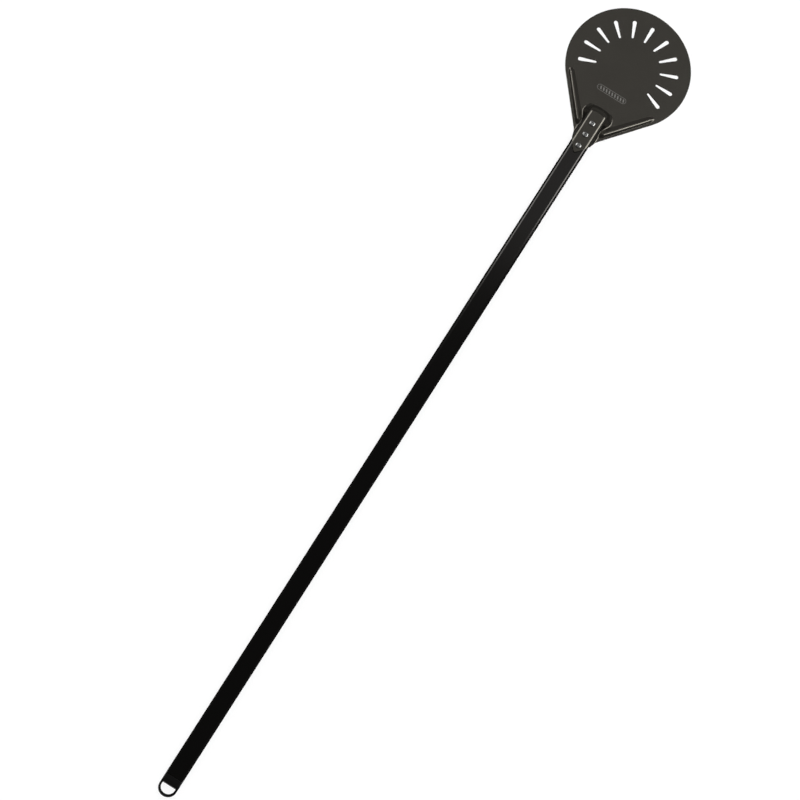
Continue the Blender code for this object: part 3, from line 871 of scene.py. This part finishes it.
def etch_mark(material, colour):
    """Etches a plain oblong round a row of slanted strokes on the top face, in front of the hood."""
    tree = material.node_tree
    half_length, half_height = 26 * MM, 4.6 * MM
    line, pitch, slant = 0.6 * MM, 5.2 * MM, 0.35
    back = 53 * MM
    stroke_share = 0.42
    border_share = 0.42
    above_underside = 1 * MM
    place = add_node(tree, "ShaderNodeTexCoord")
    split = add_node(tree, "ShaderNodeSeparateXYZ")
    tree.links.new(place.outputs["Object"], split.inputs[0])
    head_y = BLADE_BOX[1].y - (BLADE_BOX[1].x - BLADE_BOX[0].x) / 2
    across = split.outputs["X"]
    along = calculate(tree, "SUBTRACT", split.outputs["Y"], head_y - back)
    aside = calculate(tree, "ABSOLUTE", across)
    past_straight = calculate(tree, "SUBTRACT", aside, half_length - half_height)
    beyond = calculate(tree, "MAXIMUM", past_straight, 0.0)
    squares = calculate(tree, "ADD", calculate(tree, "POWER", beyond, 2.0),
                        calculate(tree, "MULTIPLY", along, along))
    outside = calculate(tree, "SUBTRACT", calculate(tree, "SQRT", squares), half_height)
    ring = calculate(tree, "LESS_THAN", calculate(tree, "ABSOLUTE", outside), line / 2)
    leaned = calculate(tree, "ADD", across, calculate(tree, "MULTIPLY", along, slant))
    phase = calculate(tree, "FRACT", calculate(tree, "DIVIDE", leaned, pitch))
    stroke = calculate(tree, "LESS_THAN", phase, stroke_share)
    inside = calculate(tree, "LESS_THAN", outside, -half_height * border_share)
    drawn = calculate(tree, "MAXIMUM", ring, calculate(tree, "MULTIPLY", stroke, inside))
    upper = calculate(tree, "GREATER_THAN", split.outputs["Z"], above_underside)
    mask = calculate(tree, "MULTIPLY", drawn, upper)
    shader = tree.nodes["Principled BSDF"]
    skin = shader.inputs["Base Color"].links[0].from_socket
    tree.links.new(between(tree, mask, skin, (*colour, 1.0)), shader.inputs["Base Color"])


def finishes():
    """Every finish of the peel, made once and shared by its operators."""
    settings = bpy.context.scene.peel_finish
    made = {}
    if "skin_grain" in bpy.data.node_groups:
        return {material.name: material for material in bpy.data.materials}
    grain = grain_group()
    made["anodised blade"] = skin_material(
        "anodised blade", grain, settings.blade, metallic=0.72, roughness=settings.blade_gloss,
        variation=0.12, clouding=28.0, grain_scale=1400.0, bump=0.02 * MM, edge_tint=0.3)
    etch_mark(made["anodised blade"], settings.mark)
    made["anodised tube"] = skin_material(
        "anodised tube", grain, settings.tube, metallic=1.0, roughness=settings.tube_gloss,
        variation=0.10, clouding=18.0, grain_scale=1800.0, bump=0.02 * MM, edge_tint=0.3)
    made["bare aluminium"] = skin_material(
        "bare aluminium", grain, settings.rivet, metallic=1.0, roughness=0.26,
        variation=0.08, clouding=300.0, grain_scale=2500.0, bump=0.02 * MM)
    made["mandrel steel"] = skin_material(
        "mandrel steel", grain, settings.mandrel, metallic=1.0, roughness=0.5,
        variation=0.25, clouding=900.0, grain_scale=4000.0, bump=0.08 * MM)
    made["moulded black"] = skin_material(
        "moulded black", grain, settings.cap, metallic=0.0, roughness=0.5,
        variation=0.2, clouding=60.0, grain_scale=2500.0, bump=0.05 * MM, edge_tint=0.6)
    return made


# ---- the studio -----------------------------------------------------------------------------
def add_card(name, place, lean, size_x, size_y, radiance):
    """A soft card of an even radiance, leaned sideways, that only glossy surfaces answer to."""
    light = bpy.data.lights.new(name, "AREA")
    light.shape = "RECTANGLE"
    light.size = size_x
    light.size_y = size_y
    light.energy = radiance * pi * size_x * size_y
    card = link(name, light)
    card.location = place
    card.rotation_euler = (0.0, radians(lean), 0.0)
    card.visible_camera = False
    card.visible_diffuse = False


def add_fill(strength, lean):
    """Even light from high behind the handle that only the floor and dull surfaces answer to."""
    light = bpy.data.lights.new("fill", "SUN")
    light.energy = strength
    light.angle = radians(40)
    light.use_shadow = False
    sun = link("fill", light)
    sun.rotation_euler = (radians(lean), 0.0, 0.0)
    sun.visible_glossy = False


def build_world(stage):
    """Pale behind the floor, and dim all round in what the metal mirrors."""
    below, above = 0.36, 0.15
    world = bpy.data.worlds.new("studio")
    bpy.context.scene.world = world
    world.use_nodes = True
    tree = world.node_tree
    background = tree.nodes["Background"]
    place = add_node(tree, "ShaderNodeTexCoord")
    split = add_node(tree, "ShaderNodeSeparateXYZ")
    ramp = add_node(tree, "ShaderNodeValToRGB")
    tree.links.new(place.outputs["Generated"], split.inputs[0])
    tree.links.new(split.outputs["Z"], ramp.inputs["Fac"])
    ramp.color_ramp.elements[0].position = 0.0
    ramp.color_ramp.elements[0].color = (below, below, below, 1.0)
    ramp.color_ramp.elements[1].position = 0.5
    ramp.color_ramp.elements[1].color = (above, above, above, 1.0)
    seen = add_node(tree, "ShaderNodeLightPath")
    shown = between(tree, seen.outputs["Is Camera Ray"], ramp.outputs["Color"], (*stage.floor, 1.0))
    tree.links.new(shown, background.inputs["Color"])
    background.inputs["Strength"].default_value = 1.0


def build_floor(stage):
    """A wide plain floor with a very faint unevenness of tone, left out of the metal's mirroring."""
    floor = bmesh.new()
    bmesh.ops.create_circle(floor, cap_ends=True, radius=80.0, segments=64)
    mesh = bpy.data.meshes.new("floor")
    floor.to_mesh(mesh)
    floor.free()
    thing = link("floor", mesh)
    thing.visible_glossy = False
    material = bpy.data.materials.new("pale floor")
    material.use_nodes = True
    tree = material.node_tree
    shader = tree.nodes["Principled BSDF"]
    shader.inputs["Roughness"].default_value = 0.9
    shader.inputs["Specular IOR Level"].default_value = 0.0
    place = add_node(tree, "ShaderNodeTexCoord")
    tone = add_node(tree, "ShaderNodeTexNoise", Scale=3.0)
    tree.links.new(place.outputs["Object"], tone.inputs["Vector"])
    duller = (*[part * 0.99 for part in stage.floor], 1.0)
    shown = between(tree, tone.outputs["Fac"], duller, (*stage.floor, 1.0))
    tree.links.new(shown, shader.inputs["Base Color"])
    thing.data.materials.append(material)


def build_lights():
    """Soft cards over and beside the head, and even fill for the floor."""
    add_card("overhead_card", (0.05, 0.96, 0.9), lean=0.0, size_x=0.8, size_y=0.7, radiance=0.66)
    add_card("right_card", (0.245, 0.67, 0.25), lean=30.0, size_x=0.17, size_y=0.38, radiance=12.5)
    add_card("left_card", (-0.44, 0.735, 0.45), lean=-40.0, size_x=0.30, size_y=0.53, radiance=8.5)
    add_fill(strength=4.2, lean=-45)


def build_camera(stage):
    """A long lens well above the handle, turned so that the peel runs corner to corner."""
    data = bpy.data.cameras.new("camera")
    data.lens = stage.lens
    data.sensor_width = 36.0
    data.clip_end = 200.0
    camera = link("camera", data)
    back = Vector((sin(stage.azimuth) * cos(stage.elevation),
                   -cos(stage.azimuth) * cos(stage.elevation), sin(stage.elevation)))
    camera.location = Vector((stage.aim_x, stage.aim_y, 0.0)) + back * stage.distance
    look = (-back).to_track_quat("-Z", "Y").to_matrix().to_4x4()
    camera.rotation_euler = (look @ Matrix.Rotation(stage.roll, 4, "Z")).to_euler()
    bpy.context.scene.camera = camera


# ---- operators and panel --------------------------------------------------------------------
class PEEL_OT_stage(bpy.types.Operator):
    """Set up the floor, the soft light and the camera"""

    bl_idname = "peel.stage"
    bl_label = "Stage"

    def execute(self, context):
        stage = context.scene.peel_stage
        context.scene.view_settings.view_transform = "Standard"
        build_camera(stage)
        build_world(stage)
        build_floor(stage)
        build_lights()
        return {"FINISHED"}


class PEEL_OT_blade(bpy.types.Operator):
    """Cut, press and finish the slotted blade"""

    bl_idname = "peel.blade"
    bl_label = "Blade"

    def execute(self, context):
        scene = context.scene
        build_blade(scene.peel_blade, scene.peel_handle, scene.peel_rivet, finishes()["anodised blade"])
        return {"FINISHED"}


class PEEL_OT_handle(bpy.types.Operator):
    """Build the flat-oval handle tube"""

    bl_idname = "peel.handle"
    bl_label = "Handle"

    def execute(self, context):
        build_tube(context.scene.peel_handle, finishes()["anodised tube"])
        return {"FINISHED"}


class PEEL_OT_rivets(bpy.types.Operator):
    """Set the blind rivets that hold the blade on the handle"""

    bl_idname = "peel.rivets"
    bl_label = "Rivets"

    def execute(self, context):
        scene = context.scene
        made = finishes()
        for number, place in enumerate(rivet_places(), start=1):
            build_rivet(number, place, scene.peel_rivet, scene.peel_handle,
                        made["bare aluminium"], made["mandrel steel"])
        return {"FINISHED"}


class PEEL_OT_cap(bpy.types.Operator):
    """Mould the end cap with its hanging loop"""

    bl_idname = "peel.cap"
    bl_label = "End cap"

    def execute(self, context):
        build_cap(context.scene.peel_handle, finishes()["moulded black"])
        return {"FINISHED"}


class PEEL_PT_sidebar(bpy.types.Panel):
    """Lists the operators in the order in which they are run"""

    bl_idname = "PEEL_PT_sidebar"
    bl_label = "Turning Peel"
    bl_space_type = "VIEW_3D"
    bl_region_type = "UI"
    bl_category = "Peel"

    def draw(self, context):
        column = self.layout.column()
        for operator in OPERATORS:
            column.operator(operator.bl_idname)


OPERATORS = (PEEL_OT_stage, PEEL_OT_blade, PEEL_OT_handle, PEEL_OT_rivets, PEEL_OT_cap)
SETTINGS = {
    "peel_blade": PEEL_PG_blade,
    "peel_handle": PEEL_PG_handle,
    "peel_rivet": PEEL_PG_rivet,
    "peel_finish": PEEL_PG_finish,
    "peel_stage": PEEL_PG_stage,
}


def register():
    """Registers the settings, the operators and the panel."""
    for name, group in SETTINGS.items():
        bpy.utils.register_class(group)
        setattr(bpy.types.Scene, name, PointerProperty(type=group))
    for operator in OPERATORS:
        bpy.utils.register_class(operator)
    bpy.utils.register_class(PEEL_PT_sidebar)


def unregister():
    """Removes what register added, in reverse."""
    bpy.utils.unregister_class(PEEL_PT_sidebar)
    for operator in reversed(OPERATORS):
        bpy.utils.unregister_class(operator)
    for name, group in reversed(SETTINGS.items()):
        delattr(bpy.types.Scene, name)
        bpy.utils.unregister_class(group)


def main():
    """Builds the stage and every piece."""
    register()
    for operator in OPERATORS:
        group, name = operator.bl_idname.split(".")
        getattr(getattr(bpy.ops, group), name)()


if __name__ == "__main__":
    main()
